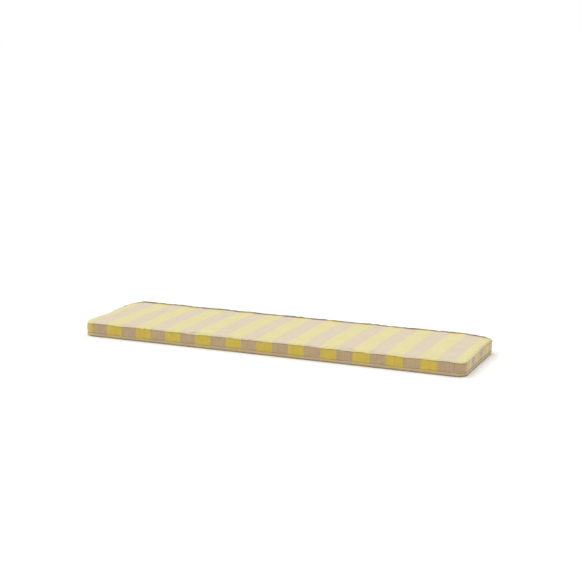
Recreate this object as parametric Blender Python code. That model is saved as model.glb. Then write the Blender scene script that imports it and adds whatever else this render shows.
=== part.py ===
"""Bench cushion: a long, flat pad with a boxed edge, as laid on a three-seat bench.

Three sewn pieces make it. The boxed body is the filled solid: its side wall is the boxing
strip, drawn in between the two seams. The top panel is a cloth sheet over its crown and the
bottom panel a sheet under it. Both roll over the body's edge and end at a seam, a little
proud of the boxing. Along the back the top seam stands up as a lip, and at the front it lies
down, so that the top ends there in a plain roll.

Metres, +Z up, +X along the cushion's length, +Y to its back. The origin is on the surface
that it lies on, under its middle.
"""

import bmesh
import bpy
import numpy as np

# Sizes over the seam lips
LENGTH = 1.50
DEPTH = 0.42
CORNER_RADIUS = 0.041
SIDE_PULL = 0.004         # how far the long sides pull in between the corners
END_PULL = 0.002          # the same for the two ends

# Heights above the surface that the cushion lies on
LOWER_SEAM = 0.013
UPPER_SEAM = 0.0505
FIELD_HEIGHT = 0.0573     # the top just inside its edge
LIP_RISE = 0.0052         # the back edge, where the seam stands up, above the field
LIP_WIDTH = 0.018         # how fast that rise fades towards the middle
CROWN_RISE = 0.0030       # the middle of the top above the field
WAVE_RISE = 0.0007        # slow unevenness of the filling under the top

# Cloth and its rolled edges
SHEET = 0.002
GAP = 0.0003              # between one piece and the next
TOP_ROLL = 0.006          # radius of the top panel's rolled edge
BOTTOM_ROLL = 0.0125      # radius of the bottom panel's rolled edge
DRAW_IN = 0.002           # how far the boxing pulls in at half its height

# How finely the pieces are divided
LONG_SPANS = 28
SHORT_SPANS = 6
CORNER_STEPS = 5
ROLL_STEPS = 4
BOXING_STEPS = 4
SLOPE_INSETS = (0.014, 0.026)

YELLOW = (0.82, 0.74, 0.41)
BEIGE = (0.77, 0.65, 0.49)
SHADED_YELLOW = (0.55, 0.42, 0.13)
CLOTH_ROUGHNESS = 0.9


def clear_scene():
    for old in list(bpy.data.objects):
        bpy.data.objects.remove(old, do_unlink=True)


def cloth_material(name, colour):
    material = bpy.data.materials.new(name)
    material.use_nodes = True
    shader = material.node_tree.nodes["Principled BSDF"]
    shader.inputs["Base Color"].default_value = (*colour, 1.0)
    shader.inputs["Roughness"].default_value = CLOTH_ROUGHNESS
    shader.inputs["Metallic"].default_value = 0.0
    return material


def side_stations():
    """Where the divisions fall between the corners, along the length and along the depth."""
    half_long = LENGTH / 2 - CORNER_RADIUS
    half_short = DEPTH / 2 - CORNER_RADIUS
    across = np.linspace(-half_long, half_long, LONG_SPANS + 1)
    deep = np.linspace(-half_short, half_short, SHORT_SPANS + 1)
    return across, deep


def outline(inset):
    """Points round the cushion at this distance in from its edge, from the front left corner
    and anticlockwise from above. Every inset has the same number of points."""
    across, deep = side_stations()
    radius = CORNER_RADIUS - inset
    front = deep[0] - radius
    right = across[-1] + radius
    turn = np.linspace(0, np.pi / 2, CORNER_STEPS + 1)[1:-1]

    def corner(x, y, start):
        return np.column_stack((x + radius * np.cos(start + turn), y + radius * np.sin(start + turn)))

    return np.vstack((
        np.column_stack((across, np.full_like(across, front))),
        corner(across[-1], deep[0], -np.pi / 2),
        np.column_stack((np.full_like(deep, right), deep)),
        corner(across[-1], deep[-1], 0.0),
        np.column_stack((across[::-1], np.full_like(across, -front))),
        corner(across[0], deep[-1], np.pi / 2),
        np.column_stack((np.full_like(deep, -right), deep[::-1])),
        corner(across[0], deep[0], np.pi),
    ))


def pulled_in(points):
    """The same plan points with the sides drawn in between the corners, most at mid-side."""
    along = points[:, 0] / (LENGTH / 2)
    deep = points[:, 1] / (DEPTH / 2)
    return np.column_stack((
        points[:, 0] - END_PULL * along * (1 - deep ** 2),
        points[:, 1] - SIDE_PULL * deep * (1 - along ** 2),
    ))


def edge_distance(points):
    """How far in from the rounded outline each plan point lies."""
    half = np.array((LENGTH / 2, DEPTH / 2)) - CORNER_RADIUS
    past = np.abs(points) - half
    outside = np.linalg.norm(np.maximum(past, 0.0), axis=1)
    inside = np.minimum(past.max(axis=1), 0.0)
    return CORNER_RADIUS - outside - inside


def lip_stand(along, deep):
    """How far the top seam stands up, from 0 at the front to 1 at the back, with a fall
    towards the back corners."""
    return ((1 + deep) / 2) ** 2 * (1 - along ** 4)


def top_height(points):
    """Height of the top panel's upper face: a field with a lip along the back, a low crown
    and slow waves."""
    along = points[:, 0] / (LENGTH / 2)
    deep = points[:, 1] / (DEPTH / 2)
    inward = np.maximum(edge_distance(points) - TOP_ROLL, 0.0)
    lip = LIP_RISE * lip_stand(along, deep) * np.exp(-(inward / LIP_WIDTH) ** 2)
    crown = CROWN_RISE * (1 - deep ** 2) * (1 - along ** 4)
    waves = WAVE_RISE * np.sin(9.0 * along + 0.6) * np.cos(2.2 * deep - 0.4)
    return FIELD_HEIGHT + lip + crown + waves


def ring(inset, height):
    """One ring of 3-D points; height is one number, or one for each point."""
    plan = pulled_in(outline(inset))
    return np.column_stack((plan, np.broadcast_to(height, len(plan))))


def top_rolled_rings(offset):
    """Rings up over the top's edge, this far inside the panel's outer face: the seam first,
    then the roll, then the slope down to the field."""
    crest = top_height(outline(TOP_ROLL))
    radius = TOP_ROLL - offset
    rings = [ring(offset, UPPER_SEAM)]
    for angle in np.linspace(0, np.pi / 2, ROLL_STEPS + 1):
        inset = TOP_ROLL - radius * np.cos(angle)
        rings.append(ring(inset, crest - TOP_ROLL + radius * np.sin(angle)))
    for inset in SLOPE_INSETS:
        rings.append(ring(inset, top_height(outline(inset)) - offset))
    return rings


def bottom_rolled_rings(offset):
    """Rings down round the bottom's edge to the flat it lies on, the lower seam first."""
    radius = BOTTOM_ROLL - offset
    rings = [ring(offset, LOWER_SEAM)]
    for angle in np.linspace(0, np.pi / 2, ROLL_STEPS + 1):
        inset = BOTTOM_ROLL - radius * np.cos(angle)
        rings.append(ring(inset, BOTTOM_ROLL - radius * np.sin(angle)))
    return rings


def boxing_rings(offset):
    """Rings of the boxing between the seams, drawn in at half its height."""
    rings = []
    for part in np.linspace(0, 1, BOXING_STEPS + 1)[1:-1]:
        height = LOWER_SEAM + part * (UPPER_SEAM - LOWER_SEAM)
        rings.append(ring(offset + DRAW_IN * np.sin(np.pi * part), height))
    return rings


def field_points():
    """Plan points of the grid that closes a face inside the corners, row by row."""
    across, deep = side_stations()
    grid_x, grid_y = np.meshgrid(across, deep)
    return np.column_stack((grid_x.ravel(), grid_y.ravel()))


def field_faces():
    """Quads of that grid, facing up, as indexes into its points."""
    wide = LONG_SPANS + 1
    faces = []
    for row in range(SHORT_SPANS):
        for column in range(LONG_SPANS):
            here = row * wide + column
            faces.append((here, here + 1, here + wide + 1, here + wide))
    return faces


def field_border():
    """The grid point that each point of an outline joins: a corner's arc shares one."""
    wide = LONG_SPANS + 1
    last_row = SHORT_SPANS * wide
    front_right = LONG_SPANS
    back_right = last_row + LONG_SPANS
    arc = CORNER_STEPS - 1
    border = list(range(wide)) + [front_right] * arc
    border += list(range(front_right, back_right + 1, wide)) + [back_right] * arc
    border += list(range(back_right, last_row - 1, -1)) + [last_row] * arc
    border += list(range(last_row, -1, -wide)) + [0] * arc
    return border


def lofted_solid(name, rings, lower_field, upper_field, material, collection):
    """A closed body from a stack of rings, shut below and above by the two fields."""
    count = len(rings[0])
    field_size = len(lower_field)
    points = np.vstack(rings + [lower_field, upper_field])
    lower_start = len(rings) * count
    upper_start = lower_start + field_size
    faces = []
    for level in range(len(rings) - 1):
        for k in range(count):
            step = (k + 1) % count
            below = level * count
            above = below + count
            faces.append((below + k, below + step, above + step, above + k))
    border = field_border()
    top_ring = (len(rings) - 1) * count
    for k in range(count):
        step = (k + 1) % count
        faces.append((step, k, lower_start + border[k], lower_start + border[step]))
        faces.append((top_ring + k, top_ring + step, upper_start + border[step],
                      upper_start + border[k]))
    for face in field_faces():
        faces.append(tuple(lower_start + corner for corner in reversed(face)))
        faces.append(tuple(upper_start + corner for corner in face))
    body = bmesh.new()
    corners = [body.verts.new(point) for point in points]
    for face in faces:
        distinct = list(dict.fromkeys(face))
        body.faces.new([corners[index] for index in distinct])
    mesh = bpy.data.meshes.new(name)
    body.to_mesh(mesh)
    body.free()
    mesh.shade_smooth()
    mesh.materials.append(material)
    made = bpy.data.objects.new(name, mesh)
    collection.objects.link(made)
    return made


def field_at(height):
    plan = pulled_in(field_points())
    return np.column_stack((plan, np.broadcast_to(height, len(plan))))


def make_boxed_body(collection):
    """The filled solid, inside both panels by a sheet's thickness and a gap."""
    offset = SHEET + GAP
    rings = bottom_rolled_rings(offset)[::-1] + boxing_rings(offset) + top_rolled_rings(offset)
    lower = field_at(offset)
    upper = field_at(top_height(field_points()) - offset)
    lofted_solid("boxed_body", rings, lower, upper, cloth_material("boxing_cloth", SHADED_YELLOW),
                 collection)


def make_top_panel(collection):
    """The top sheet: up its inner face to the seam edge, then over its outer face."""
    rings = top_rolled_rings(SHEET)[::-1] + top_rolled_rings(0.0)
    heights = top_height(field_points())
    lofted_solid("top_panel", rings, field_at(heights - SHEET), field_at(heights),
                 cloth_material("top_cloth", YELLOW), collection)


def make_bottom_panel(collection):
    """The bottom sheet: from the flat up its outer face to the seam edge, then back inside."""
    rings = bottom_rolled_rings(0.0)[::-1] + bottom_rolled_rings(SHEET)
    lofted_solid("bottom_panel", rings, field_at(0.0), field_at(SHEET),
                 cloth_material("bottom_cloth", BEIGE), collection)


def main():
    clear_scene()
    cushion = bpy.data.collections.new("bench_cushion")
    bpy.context.scene.collection.children.link(cushion)
    make_boxed_body(cushion)
    make_top_panel(cushion)
    make_bottom_panel(cushion)


main()
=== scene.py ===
# %% [markdown]
# # A striped bench cushion
#
# The real object is a long, flat pad for a three-seat bench, in a cover of yellow and beige
# striped outdoor canvas. A maker cuts three pieces for the cover: a top panel, a bottom panel,
# and one long strip, the boxing, that goes round the side. Along the back, the upper seam's
# turned-in edges stand up as a soft ridge. At the front they are pressed down, and the top
# panel rolls over them. This lesson works the cover out as numpy surfaces, lets Blender's cloth
# simulation pucker it, cuts it into its three pieces along the seams, and weaves the stripes
# as a material.
#
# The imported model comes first. The outer sizes and the heights of the seams are read from it,
# so the cover lands where the solids are.

# %% Load the frame
import time

import bpy
import numpy as np
from mathutils import Matrix, Vector


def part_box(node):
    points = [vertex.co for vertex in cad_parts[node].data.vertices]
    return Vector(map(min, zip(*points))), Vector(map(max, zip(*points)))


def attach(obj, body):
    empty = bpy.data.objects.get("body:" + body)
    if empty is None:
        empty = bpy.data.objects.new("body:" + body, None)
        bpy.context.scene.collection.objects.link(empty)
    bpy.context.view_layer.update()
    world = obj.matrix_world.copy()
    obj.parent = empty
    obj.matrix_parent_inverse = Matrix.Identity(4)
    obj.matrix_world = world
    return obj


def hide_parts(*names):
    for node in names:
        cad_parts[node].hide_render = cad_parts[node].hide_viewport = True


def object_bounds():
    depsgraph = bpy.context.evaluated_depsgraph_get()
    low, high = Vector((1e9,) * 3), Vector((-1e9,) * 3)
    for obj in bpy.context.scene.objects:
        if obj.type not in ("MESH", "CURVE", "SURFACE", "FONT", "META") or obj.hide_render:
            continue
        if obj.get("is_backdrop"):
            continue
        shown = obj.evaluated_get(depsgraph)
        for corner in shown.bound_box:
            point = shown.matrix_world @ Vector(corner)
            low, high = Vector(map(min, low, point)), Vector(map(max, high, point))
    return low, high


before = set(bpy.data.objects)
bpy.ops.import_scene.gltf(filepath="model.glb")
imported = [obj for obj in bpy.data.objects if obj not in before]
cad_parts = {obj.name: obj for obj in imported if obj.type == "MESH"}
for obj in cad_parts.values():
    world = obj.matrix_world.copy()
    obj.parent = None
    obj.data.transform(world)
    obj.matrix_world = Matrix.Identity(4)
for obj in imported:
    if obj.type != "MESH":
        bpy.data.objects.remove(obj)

cad_low, cad_high = [list(corner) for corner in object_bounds()]
print("model box from", cad_low, "to", cad_high)

# %% [markdown]
# ## Sizes
#
# The maker's sizes are round numbers: the cover is 1.50 m long and 0.42 m deep. The model's box
# is a millimetre less, because the sides draw in, so its sizes are rounded back. The two seams
# are where the model's panels end. The stripe is the cloth's own measure: 24.32 of them lie
# along the top, with the middle one yellow.
#
# Everything is in metres, +X along the cushion and +Z up.

# %% Sizes from the frame
LENGTH = round(cad_high[0] - cad_low[0], 2)
DEPTH = round(cad_high[1] - cad_low[1], 2)
UPPER_SEAM = float(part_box("top_panel")[0][2])
LOWER_SEAM = float(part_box("bottom_panel")[1][2])
CORNER_RADIUS = 0.041
STRIPES_ALONG = 24.32
STRIPE = LENGTH / STRIPES_ALONG

print(f"cover {LENGTH:.3f} by {DEPTH:.3f} m, stripe {STRIPE * 1000:.1f} mm wide")
print(f"seams {LOWER_SEAM * 1000:.1f} and {UPPER_SEAM * 1000:.1f} mm above the ground")

# %% [markdown]
# ## The outline
#
# Seen from above, the cushion is a rectangle with rounded corners. It could be a curve with
# filleted corners, but a formula gives every ring of the cover at once. Each station round the
# outline has a centre and an outward direction. A point at some inset from the edge is then
# centre + (corner radius - inset) * direction, on straight sides and corners alike.
#
# The stations start where the front side ends at the right, because the two ends of the boxing
# are joined there, and they run anticlockwise from above.

# %% Stations round the outline
LONG_SPANS = 132
SHORT_SPANS = 32
CORNER_STEPS = 8
HALF_X = LENGTH / 2 - CORNER_RADIUS
HALF_Y = DEPTH / 2 - CORNER_RADIUS
ALONG_X = np.linspace(-HALF_X, HALF_X, LONG_SPANS + 1)
ALONG_Y = np.linspace(-HALF_Y, HALF_Y, SHORT_SPANS + 1)


def stations():
    """Centre and outward direction of every station: along a side the centre slides and the
    direction stays, and round a corner the centre stays and the direction turns."""
    turn = np.linspace(0, np.pi / 2, CORNER_STEPS + 1)[1:-1]
    side_x = np.full_like(ALONG_Y, HALF_X)
    side_y = np.full_like(ALONG_X, HALF_Y)
    sides = (
        ((HALF_X, -HALF_Y), -np.pi / 2, np.column_stack((side_x, ALONG_Y))),
        ((HALF_X, HALF_Y), 0.0, np.column_stack((ALONG_X[::-1], side_y))),
        ((-HALF_X, HALF_Y), np.pi / 2, np.column_stack((-side_x, ALONG_Y[::-1]))),
        ((-HALF_X, -HALF_Y), np.pi, np.column_stack((ALONG_X, -side_y))),
    )
    centres, angles = [], []
    for corner, start, side in sides:
        centres += [np.tile(corner, (len(turn), 1)), side]
        angles += [start + turn, np.full(len(side), start + np.pi / 2)]
    angles = np.roll(np.concatenate(angles), 1)
    directions = np.column_stack((np.cos(angles), np.sin(angles)))
    return np.roll(np.vstack(centres), 1, axis=0), directions


CENTRES, OUTWARD = stations()
COUNT = len(CENTRES)


def ring_plan(inset):
    """Flat plan of rings, one for each inset: centre + (corner radius - inset) * direction.
    Each inset is one number, or one for every station."""
    inset = np.asarray(inset, dtype=float)
    inset = inset[:, None, None] if inset.ndim == 1 else inset[..., None]
    return CENTRES[None] + (CORNER_RADIUS - inset) * OUTWARD[None]


EDGE = ring_plan([0.0])[0]
steps = np.linalg.norm(np.roll(EDGE, -1, axis=0) - EDGE, axis=1)
DISTANCE = np.concatenate(([0.0], np.cumsum(steps)))
ROUND = 2 * np.pi * DISTANCE[:-1] / DISTANCE[-1]
print(COUNT, "stations,", f"{DISTANCE[-1]:.3f} m round the edge")

# %% [markdown]
# ## Drawn-in sides
#
# A cover is sewn a little tighter than its filling, so each side pulls in between its corners:
# 4 mm at the middle of a long side and 2 mm at the middle of an end. The same small shift is
# given to every plan point, in proportion to how far out it is, so the grid stays smooth.

# %% Place a plan in space
SIDE_PULL = 0.004
END_PULL = 0.002


def placed(plan, heights):
    """3-D points over a flat plan. x loses the end pull * (1 - y squared) and y loses the side
    pull * (1 - x squared), with x and y as parts of the half sizes."""
    part_x = plan[..., 0] / (LENGTH / 2)
    part_y = plan[..., 1] / (DEPTH / 2)
    x = plan[..., 0] - END_PULL * part_x * (1 - part_y ** 2)
    y = plan[..., 1] - SIDE_PULL * part_y * (1 - part_x ** 2)
    return np.stack((x, y, np.broadcast_to(heights, x.shape)), axis=-1)


FIELD_PLAN = np.stack(np.meshgrid(ALONG_X, ALONG_Y), axis=-1)
FIELD_SIZE = FIELD_PLAN[..., 0].size
print(FIELD_SIZE, "points in the field inside the corners")

# %% [markdown]
# ## The unevenness of sewing
#
# No seam runs true. A sewn edge wanders by about a millimetre, in long waves with shorter ones
# on top. A random number for each station would look like noise, so a few sine waves are
# summed instead. Each makes a whole number of turns round the cushion, so that the end meets
# the start.

# %% A wandering line
WAVE_TURNS = (5, 13, 23, 37)
WAVE_PARTS = (0.35, 0.35, 0.20, 0.18)


def wander(seed, size):
    """Size * the sum of four sine waves round the outline, with random phases."""
    phases = np.random.default_rng(seed).uniform(0, 2 * np.pi, len(WAVE_TURNS))
    waves = [part * np.sin(turns * ROUND + phase)
             for turns, part, phase in zip(WAVE_TURNS, WAVE_PARTS, phases)]
    return size * np.sum(waves, axis=0)


print(f"seam wanders up to {np.abs(wander(1, 1.0)).max():.2f} of its size")

# %% [markdown]
# ## The top's height
#
# The filling is cut flat, and the cover presses it most along the seams. So the top falls a
# little just inside the edge, then rises in a low crown. Slow waves keep it from looking
# machined, because filling never lies quite even, and at the corners and in the middle of the
# left end it gives way a little.

# %% Height of the top
FIELD_HEIGHT = 0.0576
CROWN_RISE = 0.0030
EDGE_DIP = dict(depth=0.0006, inset=0.035, width=0.020)
WAVE_RISE = 0.0008
# Rise, then radians over half the length and at its middle, then the same for the depth
SLOW_WAVES = ((WAVE_RISE, 8.5, 0.7, 2.1, -0.5), (0.4 * WAVE_RISE, 21.0, 2.0, 3.0, 1.0))
END_SAG = dict(depth=0.0030, middle=-0.040, width=0.050, reach=0.080)
CORNER_SPARE = 0.012      # no cloth lies this near to the outline's square corner
# Side in x, side in y, and the depth and width of the fall there
CORNER_FALLS = ((-1, -1, 0.0042, 0.028), (1, -1, 0.0030, 0.040), (1, 1, 0.0075, 0.065),
                (-1, 1, 0.0035, 0.040))


def soft_places(plan):
    """How far the filling gives way: a Gaussian hollow at the left end's middle, and one at each
    corner with its own depth and width."""
    x, y = plan[..., 0], plan[..., 1]
    sag = END_SAG["depth"] * np.exp(-((y - END_SAG["middle"]) / END_SAG["width"]) ** 2
                                    - ((x + LENGTH / 2) / END_SAG["reach"]) ** 2)
    for side_x, side_y, depth, width in CORNER_FALLS:
        away = (x - side_x * LENGTH / 2) ** 2 + (y - side_y * DEPTH / 2) ** 2
        sag = sag + depth * np.exp(-np.maximum(away - CORNER_SPARE ** 2, 0) / width ** 2)
    return sag


def top_height(plan):
    """Field height + crown * (1 - y squared)(1 - x to the fourth) - a Gaussian dip that follows
    the edge 35 mm in + two slow waves, each a sine along x times a cosine along y - the soft
    places."""
    x, y = plan[..., 0], plan[..., 1]
    part_x = x / (LENGTH / 2)
    part_y = y / (DEPTH / 2)
    inset = np.minimum(LENGTH / 2 - np.abs(x), DEPTH / 2 - np.abs(y))
    crown = CROWN_RISE * (1 - part_y ** 2) * (1 - part_x ** 4)
    dip = EDGE_DIP["depth"] * np.exp(-((inset - EDGE_DIP["inset"]) / EDGE_DIP["width"]) ** 2)
    height = FIELD_HEIGHT + crown - dip
    for rise, turn_x, start_x, turn_y, start_y in SLOW_WAVES:
        height = height + rise * np.sin(turn_x * part_x + start_x) * np.cos(
            turn_y * part_y + start_y)
    return height - soft_places(plan)


print(f"top {top_height(np.zeros(2)) * 1000:.1f} mm up in the middle")

# %% [markdown]
# ## One section of the whole cover
#
# The cover could be three separate shapes, but their edges have to meet exactly. So it starts
# as one closed surface: rings that run from the flat underside, out round the lower roll, up
# the boxing, over the top's edge and in across the top. Every ring is an inset and a height
# at each station.
#
# The top's edge has two shapes. At the front the seam is pressed down, so the panel rolls over
# it in one soft shoulder. At the back the seam's turnings push it up into a ridge. A stand
# factor, 0 at the front and 1 at the back, mixes the two, and the ends go from one to the
# other.

# %% Where the seam stands up
STAND_POWER = 1.5
STAND_FALL = 0.35         # part of its height that the seam loses round a corner


def stand_factor():
    """((1 + y) / 2) to the power 1.5, with y as part of the half depth, times a factor that
    falls by a third round each corner towards the end."""
    x, y = EDGE.T
    corner = 1 - STAND_FALL * np.clip((np.abs(x) - HALF_X) / CORNER_RADIUS, 0, 1)
    return ((1 + np.clip(y / (DEPTH / 2), -1, 1)) / 2) ** STAND_POWER * corner


STAND = stand_factor()
print(f"stand factor from {STAND.min():.2f} to {STAND.max():.2f}")

# %% [markdown]
# ## The lower roll
#
# The filling's weight spreads the bottom panel's edge, so it bellies out from the ground to
# its widest line, and a small lip curls from there into the seam. A quarter of an ellipse is
# enough for each, because it needs only a width and a height.

# %% Rings of the lower roll
FLAT_INSETS = (0.0360, 0.0240, 0.0160)
LOWER_ROLL = dict(inset=0.0008, height=0.0108, width=0.0107)
LOWER_LIP = dict(width=0.0024, height=0.0022)
ROLL_STEPS = 7
LIP_STEPS = 4
LOWER_WAVE = (2, 0.0004)  # seed and size of a wandering line, as are the pairs below
LOWER_LEAN = (5, 0.0003)


def level_rings(insets):
    """Flat rings at these insets, the same at every station."""
    return np.repeat(np.array(insets)[:, None], COUNT, axis=1)


def lower_rings(wave, lean):
    """A quarter ellipse, inset + width * (1 - sin(angle)) and height * (1 - cos(angle)), then
    the lip: the same widest line and another quarter ellipse in towards the seam."""
    angle = np.linspace(0, np.pi / 2, ROLL_STEPS)[:, None]
    inset = LOWER_ROLL["inset"] + LOWER_ROLL["width"] * (1 - np.sin(angle)) + lean * np.sin(angle)
    height = (LOWER_ROLL["height"] + wave) * (1 - np.cos(angle))
    turn = np.linspace(0, np.pi / 2, LIP_STEPS + 1)[1:, None]
    lip_inset = inset[-1] + LOWER_LIP["width"] * (1 - np.cos(turn))
    lip_height = height[-1] + LOWER_LIP["height"] * np.sin(turn)
    return np.vstack((inset, lip_inset)), np.vstack((height, lip_height))


flat_inset = level_rings(FLAT_INSETS)
low_inset, low_height = lower_rings(wander(*LOWER_WAVE), wander(*LOWER_LEAN))
print(f"lower roll ends {low_height[-1].mean() * 1000:.1f} mm up")

# %% [markdown]
# ## The top's edge
#
# Both shapes of the edge are worked out at every station and then mixed, ring by ring, so they
# have the same number of rings. The first few rings turn in under the panel, where the seam's
# stitches hold it. From the edge inwards, the slope's rings follow the top's height, with a
# sharp crease behind the ridge where the panel folds up into it.

# %% Rings of the top's edge
UNDER_SEAM = ((0.0036, -0.0010), (0.0018, -0.0010), (0.0005, -0.0005))
SHOULDER = dict(inset=0.0003, height=0.0066, width=0.0093, power=1.5)
SHOULDER_STEPS = 8
BACK_RIDGE = dict(inset=0.0038, height=0.0569, half_width=0.0034, half_height=0.0056)
RIDGE_TURN = (0.13, 1.36)  # its first and last angle, as parts of half a turn
EDGE_WAVE = (3, 0.0013)
EDGE_LEAN = (6, 0.0005)
RIDGE_LIFT = (7, 0.0012)
SLOPE_INSETS = (0.0100, 0.0120, 0.0145, 0.0185, 0.0240, 0.0300, 0.0360)
RIDGE_CREASE = dict(depth=0.0022, reach=0.0030)


def edge_rings(wave, lean, lift):
    """The shoulder over the seam and the ridge on it, mixed by the stand factor. The shoulder
    rises height * (1 - (1 - part) to a power) while its inset grows evenly. The ridge is an
    ellipse: inset - half width * sin(angle) in and height - half height * cos(angle) up, with
    the angle measured from straight down."""
    part = np.linspace(0, 1, SHOULDER_STEPS)[:, None] + np.zeros(COUNT)
    under = np.array(UNDER_SEAM)[:, :, None] + np.zeros(COUNT)
    soft_inset = SHOULDER["inset"] + SHOULDER["width"] * part
    soft_height = SHOULDER["height"] * (1 - (1 - part) ** SHOULDER["power"])
    front_inset = np.vstack((under[:, 0], soft_inset)) + lean
    front_height = UPPER_SEAM + np.vstack((under[:, 1], soft_height)) + wave
    first, last = RIDGE_TURN
    angle = np.linspace(first * np.pi, last * np.pi, len(front_inset))[:, None]
    back_inset = BACK_RIDGE["inset"] - BACK_RIDGE["half_width"] * np.sin(angle) + lean
    back_height = (BACK_RIDGE["height"] - (BACK_RIDGE["half_height"] + lift) * np.cos(angle)
                   + wave)
    fall = soft_places(EDGE)
    return (front_inset + STAND * (back_inset - front_inset),
            front_height + STAND * (back_height - front_height) - fall)


top_inset, top_edge_height = edge_rings(wander(*EDGE_WAVE), wander(*EDGE_LEAN),
                                        wander(*RIDGE_LIFT))
slope_inset = level_rings(SLOPE_INSETS)
# The crease is its depth * stand factor * exp(-distance behind the edge / reach)
behind = slope_inset - slope_inset[0]
crease = RIDGE_CREASE["depth"] * STAND * np.exp(-behind / RIDGE_CREASE["reach"])
slope_height = top_height(ring_plan(slope_inset)) - crease
print(f"edge from {top_edge_height[0].min():.4f} to {top_edge_height.max():.4f} m up")

# %% [markdown]
# ## The boxing
#
# The strip is held in at both seams, so it draws in just beside each and runs nearly straight
# between. Round a corner its cloth is bent and has nowhere to go, so there it bulges out, with
# a few level creases.

# %% Rings of the boxing
SEAM_GAP = 0.0002
BOXING_STEPS = 12
FRONT_BOXING = dict(inset=0.0026, pull=0.0011)
BACK_BOXING = dict(inset=0.0030, pull=0.0012)
BOXING_LEAN = (4, 0.0004)
CORNER_BULGE = 0.0040
CORNER_CREASE = 0.0009
CREASES = 3


def boxing_rings(low, high):
    """Rings between the two heights. The inset is a seam's inset + pull * (1 - (2 part - 1) to
    the fourth), with part from 0 to 1. Round the corners it loses bulge * sin(half a turn *
    part) + crease * sin(three turns * part), in full from 30 to 60 degrees round."""
    part = np.linspace(0, 1, BOXING_STEPS + 1)[:, None]
    draw = 1 - (2 * part - 1) ** 4
    front = FRONT_BOXING["inset"] + FRONT_BOXING["pull"] * draw
    back = BACK_BOXING["inset"] + BACK_BOXING["pull"] * draw
    past = np.abs(EDGE) - np.array((HALF_X, HALF_Y))
    round_corner = np.clip(past.min(axis=1) / CORNER_RADIUS * 2, 0, 1)
    bulge = (CORNER_BULGE * np.sin(np.pi * part)
             + CORNER_CREASE * np.sin(2 * CREASES * np.pi * part))
    inset = front + STAND * (back - front) + wander(*BOXING_LEAN) * draw - bulge * round_corner
    return inset, low + part * (high - low)


box_inset, box_height = boxing_rings(low_height[-1] + SEAM_GAP, top_edge_height[0] - SEAM_GAP)
print(f"boxing {np.ptp(box_height, axis=0).mean() * 1000:.1f} mm high on average")

# %% [markdown]
# ## Stack the rings
#
# Each part of the section is a named band of rings, from the flat underside to the top. The
# bands are what the cover is cut by later. A copy of the rings is kept as they were sewn,
# because the flat patterns are measured on it.

# %% Bands of the section
SECTION = (
    ("flat", flat_inset, np.zeros_like(flat_inset)),
    ("lower_roll", low_inset, low_height),
    ("boxing", box_inset, box_height),
    ("top_edge", top_inset, top_edge_height),
    ("slope", slope_inset, slope_height),
)
INSETS = np.concatenate([inset for _, inset, _ in SECTION])
HEIGHTS = np.concatenate([height for _, _, height in SECTION])
RINGS = placed(ring_plan(INSETS), HEIGHTS)
SEWN_RINGS = RINGS.copy()
first, BAND = 0, {}
for name, inset, _ in SECTION:
    BAND[name] = (first, first + len(inset))
    first += len(inset)
print(len(RINGS), "rings:", BAND)

# %% [markdown]
# ## From rings to a mesh
#
# Rings of stations make a grid that closes on itself, and a plain grid fills the field inside
# the corners. A corner's arc of stations all joins one field point, as triangles. Index
# arithmetic on whole arrays makes the faces, and from_pydata takes them.

# %% Faces
FIELD_INDEX = np.arange(FIELD_SIZE).reshape(FIELD_PLAN.shape[:2])


def ring_faces(levels):
    """Quads between each ring and the next, facing out."""
    level, station = np.meshgrid(np.arange(levels - 1), np.arange(COUNT), indexing="ij")
    here = (level * COUNT + station).ravel()
    beside = (level * COUNT + (station + 1) % COUNT).ravel()
    return np.column_stack((here, beside, beside + COUNT, here + COUNT)).tolist()


def field_border():
    """The field point that each station joins."""
    index = FIELD_INDEX
    corners = (index[0, -1], index[-1, -1], index[-1, 0], index[0, 0])
    sides = (index[:, -1], index[-1, ::-1], index[::-1, 0], index[0, :])
    arcs = [np.full(CORNER_STEPS - 1, corner) for corner in corners]
    order = np.concatenate([part for pair in zip(arcs, sides) for part in pair])
    return np.roll(order, 1)


def field_faces(ring, field, up):
    """Faces from the ring that starts at one index to the field that starts at the other, and
    over the field, facing up or down."""
    border = field + field_border()
    here = np.arange(COUNT)
    beside = (here + 1) % COUNT
    arc = border[here] == border[beside]
    fans = np.column_stack((ring + here, ring + beside, border[here]))[arc]
    bands = np.column_stack((ring + here, ring + beside, border[beside], border[here]))[~arc]
    index = field + FIELD_INDEX
    cells = np.stack((index[:-1, :-1], index[:-1, 1:], index[1:, 1:], index[1:, :-1]), axis=-1)
    faces = fans.tolist() + bands.tolist() + cells.reshape(-1, 4).tolist()
    return faces if up else [face[::-1] for face in faces]


def make_object(name, points, faces):
    """A smooth-shaded object with these points and faces."""
    mesh = bpy.data.meshes.new(name)
    mesh.from_pydata(points.reshape(-1, 3).tolist(), [], faces)
    mesh.shade_smooth()
    made = bpy.data.objects.new(name, mesh)
    bpy.context.scene.collection.objects.link(made)
    return made


top_field = placed(FIELD_PLAN, top_height(FIELD_PLAN))
low_field = placed(FIELD_PLAN, 0.0)
LOW_START = len(RINGS) * COUNT
TOP_START = LOW_START + FIELD_SIZE
cover_points = np.vstack([part.reshape(-1, 3) for part in (RINGS, low_field, top_field)])
cover_faces = (ring_faces(len(RINGS)) + field_faces(0, LOW_START, up=False)
               + field_faces(LOW_START - COUNT, TOP_START, up=True))
print("whole cover has", len(cover_points), "points and", len(cover_faces), "faces")

# %% [markdown]
# ## How firmly the cover is held
#
# The closed surface is about to be simulated as cloth. A point's weight says how firmly it
# keeps its place. The flat underside and the seams hardly move, the middle of the top is held
# softly, as foam holds the cloth that lies on it, and the boxing is the freest.

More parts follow.
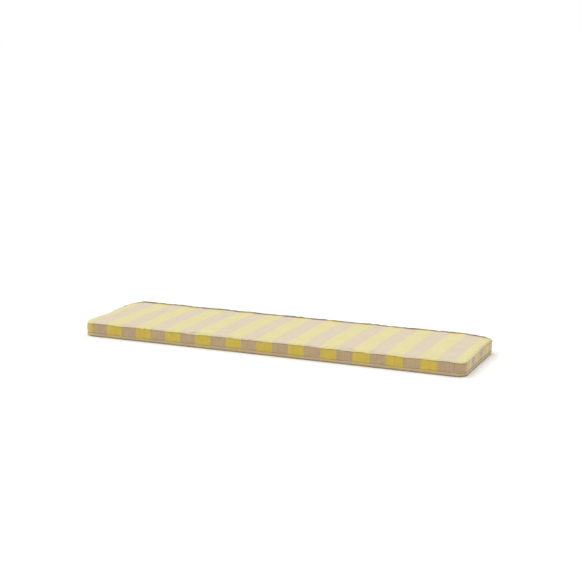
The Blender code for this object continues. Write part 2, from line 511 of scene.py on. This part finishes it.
# %% Hold weights
HOLD = dict(flat=1.0, lower_roll=0.9, boxing=0.08, top_edge=0.4, slope=0.25)
BOXING_SEAM_HOLD = 0.95
PANEL_SEAM_HOLD = 0.9
FIELD_HOLD = dict(insets=(0.036, 0.12), weights=(0.3, 0.7))


def hold_weights():
    """Each ring has its band's weight, or a seam's. On the top's field the weight rises from
    0.3 at its rim to 0.7 at 120 mm in."""
    rings = np.concatenate([np.full(len(inset), HOLD[name]) for name, inset, _ in SECTION])
    rings[BAND["boxing"][0]] = rings[BAND["boxing"][1] - 1] = BOXING_SEAM_HOLD
    rings[BAND["top_edge"][0]] = PANEL_SEAM_HOLD
    x, y = np.abs(FIELD_PLAN[..., 0]), np.abs(FIELD_PLAN[..., 1])
    inset = np.minimum(LENGTH / 2 - x, DEPTH / 2 - y)
    field = np.interp(inset, FIELD_HOLD["insets"], FIELD_HOLD["weights"])
    return np.concatenate((np.repeat(rings, COUNT), np.ones(FIELD_SIZE), field.ravel()))


print(f"average hold {hold_weights().mean():.2f}")

# %% [markdown]
# ## Pucker the cover
#
# The cloth is made 2.5% too big for itself, as a cover is that has been eased on to its seams,
# and the pressure of the filling holds it out. So the spare cloth goes where it does in sewing:
# into small puckers beside the seams.
#
# Gravity is off, because the filling carries the cover. No point may move more than a few
# millimetres, and close to the ground none may move at all.

# %% Cloth simulation
FRAMES = 20
MOST_MOVE = 0.0035
STILL_HEIGHT = 0.001      # nothing moves below this, and 6 mm higher all moves in full
FREEING_HEIGHT = 0.006
CLOTH = dict(quality=6, mass=0.25, tension_stiffness=20.0, compression_stiffness=20.0,
             shear_stiffness=6.0, bending_stiffness=0.06, shrink_min=-0.025,
             vertex_group_mass="hold", pin_stiffness=1.0, use_pressure=True,
             uniform_pressure_force=4.0)


def simulate(points, faces):
    """Cloth under pressure for 20 frames, and where its points end up."""
    cover = make_object("simulated_cover", points, faces)
    hold = cover.vertex_groups.new(name="hold")
    for index, weight in enumerate(hold_weights().tolist()):
        hold.add((index,), weight, "REPLACE")
    cloth = cover.modifiers.new("cloth", "CLOTH")
    for key, value in CLOTH.items():
        setattr(cloth.settings, key, value)
    cloth.settings.effector_weights.gravity = 0.0
    cloth.point_cache.frame_end = FRAMES
    scene = bpy.context.scene
    for number in range(1, FRAMES + 1):
        scene.frame_set(number)
    result = cover.evaluated_get(bpy.context.evaluated_depsgraph_get()).to_mesh()
    moved = np.empty(len(points) * 3, dtype=np.float32)
    result.vertices.foreach_get("co", moved)
    bpy.data.objects.remove(cover, do_unlink=True)
    scene.frame_set(1)
    return moved.reshape(-1, 3).astype(float)


def limited(move, most):
    """The same directions, with lengths of most * tanh(length / most)."""
    length = np.linalg.norm(move, axis=1, keepdims=True)
    return move * most * np.tanh(length / most) / np.maximum(length, 1e-9)


began = time.time()
move = limited(simulate(cover_points, cover_faces) - cover_points, MOST_MOVE)
move *= np.clip((cover_points[:, 2:] - STILL_HEIGHT) / FREEING_HEIGHT, 0, 1)
cover_points = cover_points + move
size = np.linalg.norm(move, axis=1) * 1000
print(f"simulated in {time.time() - began:.1f} s, moves of {size.mean():.2f} mm on average")
print(f"95% move under {np.percentile(size, 95):.2f} mm")

RINGS = cover_points[:LOW_START].reshape(RINGS.shape)
top_field = cover_points[TOP_START:].reshape(FIELD_PLAN.shape[:2] + (3,))

# %% [markdown]
# ## The cloth laid flat
#
# The stripes and the weave have to follow the cloth over every ridge, so each point also gets
# its place on the flat cloth, in metres. That is a UV map whose unit is a metre.
#
# A panel's flat pattern is its plan, with what turns over the edge laid out beyond it. Both
# panels are cut to match. The boxing's pattern is a straight strip. A careful maker matches its
# stripes to the top's along the front, where they show, and eases the rest of the strip round,
# so two beige stripes meet at the join.

# %% Flat patterns
STRIPES_ROUND = 60.92
STRIP = STRIPES_ROUND * STRIPE


def panel_pattern(low, high, fixed):
    """Plan points at the unrolled inset: the fixed ring keeps its own inset, and a ring at
    some distance along the section from it is laid that distance further out."""
    steps = np.linalg.norm(np.diff(SEWN_RINGS[low:high], axis=0), axis=2)
    along = np.vstack((np.zeros(COUNT), np.cumsum(steps, axis=0)))
    return ring_plan(INSETS[fixed] - np.abs(along - along[fixed - low]))


def boxing_across():
    """Where each station falls along the strip: x itself along the front, and evenly eased
    round the other three sides."""
    total = DISTANCE[-1]
    front = (total - 2 * HALF_X, total)
    ends = (HALF_X - STRIP, -HALF_X, HALF_X)
    return np.interp(DISTANCE[:-1], (0.0, *front), ends)


def set_cloth_uv(piece, uv):
    """Each face corner's UV is its point's. A face across the join has corners from both ends
    of the strip, and its far ones are moved on by the strip's length."""
    mesh = piece.data
    points = np.empty(len(mesh.loops), dtype=np.int32)
    mesh.loops.foreach_get("vertex_index", points)
    corner = uv[points]
    faces = np.repeat(np.arange(len(mesh.polygons)),
                      [len(face.vertices) for face in mesh.polygons])
    highest = np.full(len(mesh.polygons), -np.inf)
    np.maximum.at(highest, faces, corner[:, 0])
    corner[:, 0] += np.where(highest[faces] - corner[:, 0] > STRIP / 2, STRIP, 0.0)
    mesh.uv_layers.new(name="cloth").data.foreach_set("uv", corner.astype(np.float32).ravel())


print(f"boxing strip {STRIP:.3f} m long, with {STRIPES_ROUND} stripes")

# %% [markdown]
# ## The two panels
#
# The top panel is the cover's rings from the upper seam inwards, with the top field. The bottom
# panel is the rings below the lower seam, and its field faces down. Solidify gives each the
# canvas's thickness on the inside, so the outer face stays where it is, and one level of
# subdivision rounds it.
#
# An attribute marks the ridge that stands up along the back, where the material paints shade.

# %% Panels
CANVAS = 0.0010
RIDGE_SHADE_POWER = 1.5        # keeps the painted shade to where the ridge stands up most


def finish(piece, wall):
    """One level of subdivision, then the wall's thickness inwards, if it has one."""
    smooth = piece.modifiers.new("smooth", "SUBSURF")
    smooth.levels = smooth.render_levels = 1
    if wall:
        thick = piece.modifiers.new("canvas", "SOLIDIFY")
        thick.thickness = wall
        thick.offset = -1.0


def make_panel(name, low, high, field, up):
    """The cover's rings from low to high with the field, which joins the last ring where the
    panel faces up and the first where it faces down. Gives the panel and its flat cut's size."""
    joined = high - low - 1 if up else 0
    ring_count = (high - low) * COUNT
    points = np.vstack((RINGS[low:high].reshape(-1, 3), field.reshape(-1, 3)))
    faces = ring_faces(high - low) + field_faces(joined * COUNT, ring_count, up=up)
    panel = make_object(name, points, faces)
    pattern = panel_pattern(low, high, low + joined)
    set_cloth_uv(panel, np.vstack((pattern.reshape(-1, 2), FIELD_PLAN.reshape(-1, 2))))
    finish(panel, CANVAS)
    outer = pattern[0 if up else -1]
    flat = outer.max(axis=0) * 2
    print(f"{name}: {len(faces)} faces, cut {flat[0]:.3f} by {flat[1]:.3f} m")
    return panel, flat


top_panel, top_flat = make_panel("cushion_top_panel", BAND["top_edge"][0], BAND["slope"][1],
                                 top_field, up=True)
bottom_panel, bottom_flat = make_panel("cushion_bottom_panel", BAND["flat"][0],
                                       BAND["lower_roll"][1], low_field, up=False)

# Painted shade: how much the material darkens each point of the top panel's back ridge
ridge = np.repeat((1.0, 0.0), (len(top_inset), len(slope_inset)))
ridge_shade = np.concatenate((np.outer(ridge, STAND ** RIDGE_SHADE_POWER).ravel(), np.zeros(FIELD_SIZE)))
top_panel.data.attributes.new("ridge_shade", "FLOAT", "POINT").data.foreach_set("value", ridge_shade)

# %% [markdown]
# ## The boxed body
#
# The boxing is the skin of the filled pad, so this piece is a closed solid. Between the seams
# it is the cover itself. Above and below them it tucks in under the panels and stays clear of
# their inner faces, and its own fields close it.

# %% Boxed body
UNDER_PANEL = 0.0017
# Insets of the rings inside the lower roll, and their heights above the body's underside
LOW_TUCK = ((0.0360, 0.0), (0.0150, 0.0), (0.0092, 0.0009), (0.0057, 0.0048), (0.0052, 0.0096))
# How far in and up the tucked rings lie from the boxing's first ring, its last, and the slope's
LOW_SHELF = (0.0028, 0.0)
HIGH_SHELF = ((0.0024, 0.0), (0.0030, 0.0022))
UNDER_SLOPE = (-0.0024, -0.0027)
OVER_INSETS = (0.0120, 0.0185, 0.0360)
FRONT_STATION = COUNT * 3 // 4


def tucked(ring, inwards, up):
    """A ring moved in towards the middle, along each station's direction, and up."""
    shift = np.column_stack((-inwards * OUTWARD, np.full(COUNT, up)))
    return ring + shift


low, high = BAND["boxing"]
slope = BAND["slope"][0]
tuck_low = [placed(ring_plan([inset]), UNDER_PANEL + height)[0] for inset, height in LOW_TUCK]
tuck_low.append(tucked(RINGS[low], *LOW_SHELF))
tuck_high = [tucked(RINGS[high - 1], inwards, up) for inwards, up in HIGH_SHELF]
tuck_high.append(tucked(RINGS[slope], *UNDER_SLOPE))
over = [RINGS[slope + SLOPE_INSETS.index(inset)] - (0, 0, UNDER_PANEL) for inset in OVER_INSETS]
rings = np.concatenate((tuck_low, RINGS[low:high], tuck_high, over))
ring_count = len(rings) * COUNT
points = np.vstack((rings.reshape(-1, 3), (low_field + (0, 0, UNDER_PANEL)).reshape(-1, 3),
                    (top_field - (0, 0, UNDER_PANEL)).reshape(-1, 3)))
faces = (ring_faces(len(rings)) + field_faces(0, ring_count, up=False)
         + field_faces(ring_count - COUNT, ring_count + FIELD_SIZE, up=True))
body = make_object("cushion_boxed_body", points, faces)
strip = np.stack(np.meshgrid(boxing_across(), rings[:, FRONT_STATION, 2]), axis=-1)
set_cloth_uv(body, np.vstack([part.reshape(-1, 2) for part in (strip, FIELD_PLAN, FIELD_PLAN)]))
finish(body, wall=0.0)
print(f"{body.name}: {len(faces)} faces")

# %% [markdown]
# ## The striped canvas
#
# The cover is outdoor canvas: a plain weave of solution-dyed acrylic yarn, where dyed warp
# threads make the stripes. Three things tell the eye so.
#
# - The stripes are woven, not printed, so their edges stray by a thread or two and are soft.
# - Spun yarn is thick in one place and thin in another. That leaves faint streaks along the
#   warp, which show most on the upright boxing.
# - The fibres' loose ends catch light that comes in low, which is what a little sheen does.
#
# The top panel gets paler copies of the yellow and the beige: painted light, for the stronger
# light on its upward faces and the sheen seen low across it. The underside gets slightly paler
# copies, painted light on its lit lower roll. The boxing has the cloth's own colours. Along the
# back, where the seam stands up, the ridge's front side gets a darker pair: painted shade, which
# shows as a dark line.
#
# Colours are picked as sRGB hex codes, but the shader works with linear light, so one function
# turns the one into the other.

# %% Colours and a node helper
# Painted light: the top's colours are paler copies of the boxing's, for the light and sheen on it
TOP_YELLOW_PAINTED_LIGHT, TOP_BEIGE_PAINTED_LIGHT = "#DACF94", "#D4C5A9"
# Painted light: slightly paler copies for the underside's lit lower roll
UNDERSIDE_YELLOW_PAINTED_LIGHT, UNDERSIDE_BEIGE_PAINTED_LIGHT = "#CFB984", "#C9B392"
# Painted shade: darker copies for the front side of the ridge along the back
RIDGE_YELLOW_PAINTED_SHADE, RIDGE_BEIGE_PAINTED_SHADE = "#A08A42", "#927C5E"
YELLOW, BEIGE = "#D4B948", "#BEA47E"
SEAM_SHADE = "#8A7650"


def linear(code):
    """sRGB hex to linear: ((c + 0.055) / 1.055) to the power 2.4, or c / 12.92 when dark."""
    value = np.array([int(code[i:i + 2], 16) for i in (1, 3, 5)]) / 255
    made = np.where(value <= 0.04045, value / 12.92, ((value + 0.055) / 1.055) ** 2.4)
    return (*made.tolist(), 1.0)


def add(tree, kind, settings=None, **links):
    """Adds a node. settings go on the node itself or, by number or name, on its inputs, and
    each link names an input by its position, such as _0=socket."""
    node = tree.nodes.new(kind)
    for key, value in (settings or {}).items():
        if isinstance(key, str) and hasattr(node, key):
            setattr(node, key, value)
        else:
            node.inputs[key].default_value = value
    for key, socket in links.items():
        tree.links.new(socket, node.inputs[int(key[1:])])
    return node


print("yellow", [round(part, 3) for part in linear(YELLOW)[:3]])

# %% [markdown]
# ## The stripe pattern
#
# Across the cloth the UV map counts metres, so dividing by the stripe gives a number that goes
# up by one a stripe. Ping-pong folds that number between 0, the middle of a yellow stripe, and
# 1, the middle of a beige one. Then a soft step at one half chooses the colour. A noise moves
# the coordinate by up to half a millimetre first, which is the straying of the edge.
#
# The real threads are about half a millimetre wide. Drawn like that they would only shimmer at
# this distance, so the weave is five times coarser.

# %% Groups of nodes for the pattern
EDGE_STRAY = 0.0010
STRAY_MARKS = 60.0        # marks of the straying noise in a metre
EDGE_SOFTNESS = 0.022     # as a part of a stripe
EVEN_SHIFT = 20.0         # whole stripe pairs, which keep a panel's count above 0
NOISE_SPAN = (0.3, 0.7)   # most of a noise's values lie between these
THREAD_PITCH = 0.0025
WAVE_NODE_TURN = 20.0     # a Wave texture of scale 1 turns through 20 radians in a metre
JOIN_FADE = (0.0003, 0.0010)  # the join is dark up to the first distance, gone at the last


def stripe_mask(tree, uv):
    """0 on a yellow stripe and 1 on a beige one."""
    split = add(tree, "ShaderNodeSeparateXYZ", _0=uv)
    stray = add(tree, "ShaderNodeTexNoise", {"Scale": STRAY_MARKS, "Detail": 2.0},
                _0=uv).outputs[0]
    shift = add(tree, "ShaderNodeMath", {"operation": "MULTIPLY_ADD", 1: EDGE_STRAY,
                                         2: -EDGE_STRAY / 2}, _0=stray).outputs[0]
    across = add(tree, "ShaderNodeMath", {"operation": "ADD"}, _0=split.outputs[0],
                 _1=shift).outputs[0]
    count = add(tree, "ShaderNodeMath", {"operation": "MULTIPLY_ADD", 1: 1 / STRIPE,
                                         2: EVEN_SHIFT}, _0=across).outputs[0]
    fold = add(tree, "ShaderNodeMath", {"operation": "PINGPONG", 1: 1.0}, _0=count).outputs[0]
    return add(tree, "ShaderNodeMapRange", {"interpolation_type": "SMOOTHSTEP",
                                            1: 0.5 - EDGE_SOFTNESS, 2: 0.5 + EDGE_SOFTNESS,
                                            3: 0.0, 4: 1.0}, _0=fold).outputs[0]


def stretched_noise(tree, uv, marks, low, high):
    """Noise with this many marks a metre across and along, as a value between low and high."""
    scaled = add(tree, "ShaderNodeMapping", {"Scale": (*marks, 1.0)}, _0=uv).outputs[0]
    noise = add(tree, "ShaderNodeTexNoise", {"Scale": 1.0, "Detail": 3.0}, _0=scaled)
    return add(tree, "ShaderNodeMapRange", {1: NOISE_SPAN[0], 2: NOISE_SPAN[1], 3: low, 4: high},
               _0=noise.outputs[0]).outputs[0]


def weave_height(tree, uv):
    """Two waves at right angles, added: one for the warp and one for the weft."""
    scale = 2 * np.pi / THREAD_PITCH / WAVE_NODE_TURN
    warp = add(tree, "ShaderNodeTexWave", {"bands_direction": "X", "Scale": scale}, _0=uv)
    weft = add(tree, "ShaderNodeTexWave", {"bands_direction": "Y", "Scale": scale}, _0=uv)
    return add(tree, "ShaderNodeMath", {"operation": "ADD"}, _0=warp.outputs[1],
               _1=weft.outputs[1]).outputs[0]


def join_mask(tree, uv):
    """1 at the join of the strip's two ends and 0 a millimetre away: ping-pong over half the
    strip gives the distance to the nearer end."""
    split = add(tree, "ShaderNodeSeparateXYZ", _0=uv)
    past = add(tree, "ShaderNodeMath", {"operation": "ADD", 1: -HALF_X}, _0=split.outputs[0])
    away = add(tree, "ShaderNodeMath", {"operation": "PINGPONG", 1: STRIP / 2},
               _0=past.outputs[0])
    return add(tree, "ShaderNodeMapRange", {1: JOIN_FADE[0], 2: JOIN_FADE[1], 3: 1.0, 4: 0.0},
               _0=away.outputs[0]).outputs[0]


print(f"threads {THREAD_PITCH * 1000:.1f} mm apart")

# %% [markdown]
# ## The canvas itself
#
# The stripe colour is multiplied by the streaks and by a broad, faint mottle, and both streaks
# and threads lift the bump. The panels and the boxing are one function with different colours,
# strengths of streak and amounts of sheen: the boxing has more sheen. The panels' paler colours
# are painted light, and the top's darker ridge colours are painted shade. Only the boxing has
# the join, a thin shaded line.

# %% Material
STREAK_MARKS = (190.0, 9.0)  # a metre, which makes a streak 5 mm wide and 110 mm long
MOTTLE_MARKS = (14.0, 14.0)
MOTTLE = (0.975, 1.02)
THREAD_PART = 0.35        # how much the threads lift the bump, next to the streaks
BUMP_STRENGTH = 0.35
BUMP_HEIGHT = 0.0004
ROUGHNESS = 0.8
SPECULAR = 0.3
SHEEN_ROUGHNESS = 0.5


def striped_canvas(name, colours, streak, sheen, ridge_shade=None, join=False):
    """Striped outdoor canvas. colours are the yellow and the beige, and streak is how far a
    streak's value strays from 1. The fourth argument is a darker yellow and beige, painted shade,
    used where the point attribute of the same name is 1, and join draws the boxing's join."""
    material = bpy.data.materials.new(name)
    material.use_nodes = True
    tree = material.node_tree
    shader = tree.nodes["Principled BSDF"]
    uv = add(tree, "ShaderNodeUVMap", {"uv_map": "cloth"}).outputs[0]
    stripes = stripe_mask(tree, uv)
    colour = add(tree, "ShaderNodeMix", {"data_type": "RGBA", 6: linear(colours[0]),
                                         7: linear(colours[1])}, _0=stripes)
    # Painted shade: a darker yellow and beige, mixed in on the back ridge's front side
    if ridge_shade:
        dark = add(tree, "ShaderNodeMix", {"data_type": "RGBA", 6: linear(ridge_shade[0]),
                                           7: linear(ridge_shade[1])}, _0=stripes)
        place = add(tree, "ShaderNodeAttribute", {"attribute_name": "ridge_shade"})
        colour = add(tree, "ShaderNodeMix", {"data_type": "RGBA"}, _0=place.outputs["Fac"],
                     _6=colour.outputs[2], _7=dark.outputs[2])
    streaks = stretched_noise(tree, uv, STREAK_MARKS, 1 - streak, 1 + streak)
    mottle = stretched_noise(tree, uv, MOTTLE_MARKS, *MOTTLE)
    value = add(tree, "ShaderNodeMath", {"operation": "MULTIPLY"}, _0=streaks, _1=mottle)
    toned = add(tree, "ShaderNodeVectorMath", {"operation": "SCALE"}, _0=colour.outputs[2],
                _3=value.outputs[0]).outputs[0]
    if join:
        toned = add(tree, "ShaderNodeMix", {"data_type": "RGBA", 7: linear(SEAM_SHADE)},
                    _0=join_mask(tree, uv), _6=toned).outputs[2]
    tree.links.new(toned, shader.inputs["Base Color"])
    height = add(tree, "ShaderNodeMath", {"operation": "MULTIPLY_ADD", 1: THREAD_PART},
                 _0=weave_height(tree, uv), _2=streaks)
    bump = add(tree, "ShaderNodeBump", {"Strength": BUMP_STRENGTH, "Distance": BUMP_HEIGHT})
    tree.links.new(height.outputs[0], bump.inputs["Height"])
    tree.links.new(bump.outputs[0], shader.inputs["Normal"])
    shader.inputs["Roughness"].default_value = ROUGHNESS
    shader.inputs["Specular IOR Level"].default_value = SPECULAR
    shader.inputs["Sheen Weight"].default_value = sheen
    shader.inputs["Sheen Roughness"].default_value = SHEEN_ROUGHNESS
    return material


# The top's colours are paler copies of the boxing's, painted light, and its ridge pair painted
# shade
top_panel.data.materials.append(striped_canvas(
    "top_canvas_painted_light", (TOP_YELLOW_PAINTED_LIGHT, TOP_BEIGE_PAINTED_LIGHT), streak=0.03, sheen=0.3,
    ridge_shade=(RIDGE_YELLOW_PAINTED_SHADE, RIDGE_BEIGE_PAINTED_SHADE)))
# The underside's colours are paler copies of the boxing's: painted light on its lower roll
bottom_panel.data.materials.append(striped_canvas(
    "underside_canvas_painted_light", (UNDERSIDE_YELLOW_PAINTED_LIGHT, UNDERSIDE_BEIGE_PAINTED_LIGHT), streak=0.03, sheen=0.3))
body.data.materials.append(striped_canvas(
    "boxing_canvas", (YELLOW, BEIGE), streak=0.09, sheen=0.7, join=True))
for piece in (top_panel, bottom_panel, body):
    print(piece.name, "is", piece.data.materials[0].name)

# %% [markdown]
# ## A white floor
#
# The cushion lies alone on a floor that is matt and nearly white, and wide enough that its far
# edge never shows.

# %% Floor
FLOOR_SIZE = 120.0
FLOOR_WHITE = "#F1F1F1"
FLOOR_ROUGHNESS = 0.95


def make_floor():
    """A flat white sheet, with its middle under the cushion."""
    mesh = bpy.data.meshes.new("floor")
    half = FLOOR_SIZE / 2
    mesh.from_pydata([(-half, -half, 0), (half, -half, 0), (half, half, 0), (-half, half, 0)],
                     [], [(0, 1, 2, 3)])
    floor = bpy.data.objects.new("floor", mesh)
    bpy.context.scene.collection.objects.link(floor)
    material = bpy.data.materials.new("matt_white_paper")
    material.use_nodes = True
    shader = material.node_tree.nodes["Principled BSDF"]
    shader.inputs["Base Color"].default_value = linear(FLOOR_WHITE)
    shader.inputs["Roughness"].default_value = FLOOR_ROUGHNESS
    shader.inputs["Specular IOR Level"].default_value = 0.0
    mesh.materials.append(material)
    floor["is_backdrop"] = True
    return floor


floor = make_floor()
print("floor", [round(side, 1) for side in floor.dimensions])

# %% [markdown]
# ## Soft light
#
# The lamp is a sun with a wide angle, 80 degrees, which works as a big diffusing cloth above
# the piece: its shadows have no edges, and the upright sides stay darker than the top. The
# world adds an even fill. The camera sees it as pure white, but it lights with less than half
# of that.

# %% Light
WHITE = (1.0, 1.0, 1.0, 1.0)
FILL = 0.40
LAMP_PLACE = (-0.35, 0.0, 2.0)
LAMP_STRENGTH = 2.6
LAMP_SPREAD = 80.0

world = bpy.data.worlds.new("studio")
bpy.context.scene.world = world
world.use_nodes = True
tree = world.node_tree
fill = tree.nodes["Background"]
fill.inputs[0].default_value = WHITE
fill.inputs[1].default_value = FILL
seen = add(tree, "ShaderNodeBackground", {0: WHITE, 1: 1.0})
ray = add(tree, "ShaderNodeLightPath")
mix = add(tree, "ShaderNodeMixShader", _0=ray.outputs["Is Camera Ray"], _1=fill.outputs[0],
          _2=seen.outputs[0])
tree.links.new(mix.outputs[0], tree.nodes["World Output"].inputs[0])

lamp_data = bpy.data.lights.new("overhead_lamp", "SUN")
lamp_data.energy = LAMP_STRENGTH
lamp_data.angle = np.radians(LAMP_SPREAD)
lamp = bpy.data.objects.new("overhead_lamp", lamp_data)
bpy.context.scene.collection.objects.link(lamp)
lamp.location = LAMP_PLACE
lamp.rotation_euler = (-Vector(LAMP_PLACE)).to_track_quat("-Z", "Y").to_euler()
print(f"fill {FILL}, lamp {LAMP_STRENGTH} from {LAMP_PLACE}")

# %% [markdown]
# ## The camera
#
# The camera stands 22 degrees round to the right of the front and 11 degrees up, with a long
# lens, so the far edge stays nearly as long as the near one. It leans by less than a degree.
# It looks at a point 0.2 m above the front edge and 0.1 m right of the middle, so the cushion
# lies low in the frame. Its distance is counted in stripes, because the stripes set the scale
# of everything else.

# %% Camera
AZIMUTH, ELEVATION, ROLL = np.radians((21.88, 11.045, 0.849))
CAMERA_AWAY = 76.556 * STRIPE
AIM = Vector((1.633 * STRIPE, -3.365 * STRIPE, UPPER_SEAM + 3.22 * STRIPE))
LENS = 82.24              # millimetres, on a sensor of the usual width
SENSOR_WIDTH = 36.0

camera_data = bpy.data.cameras.new("camera")
camera_data.lens = LENS
camera_data.sensor_width = SENSOR_WIDTH
camera = bpy.data.objects.new("camera", camera_data)
bpy.context.scene.collection.objects.link(camera)
back = Vector((np.sin(AZIMUTH) * np.cos(ELEVATION), -np.cos(AZIMUTH) * np.cos(ELEVATION),
               np.sin(ELEVATION)))
camera.location = AIM + CAMERA_AWAY * back
turn = (-back).to_track_quat("-Z", "Y").to_matrix().to_4x4()
camera.rotation_euler = (turn @ Matrix.Rotation(ROLL, 4, "Z")).to_euler()
bpy.context.scene.camera = camera
bpy.context.scene.view_settings.view_transform = "Standard"
print(f"camera {CAMERA_AWAY:.2f} m away")

# %% [markdown]
# ## Into the solids' places
#
# Each piece rides on the imported model's one body and takes the place of its solid, which is
# hidden. The panels are sheets, held taut by the seams over the body that they rest on, and the
# body is filled with foam that takes up most of its inside.

# %% Into the solids' places
for piece, node, slot in ((top_panel, "top_panel", "panel_cloth"),
                          (bottom_panel, "bottom_panel", "panel_cloth"),
                          (body, "boxed_body", "boxing_cloth")):
    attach(piece, "root")
    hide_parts(node)
    print(piece.name, "takes the place of", node)

low, high = [list(corner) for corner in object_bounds()]
print("visual box from", low, "to", high)
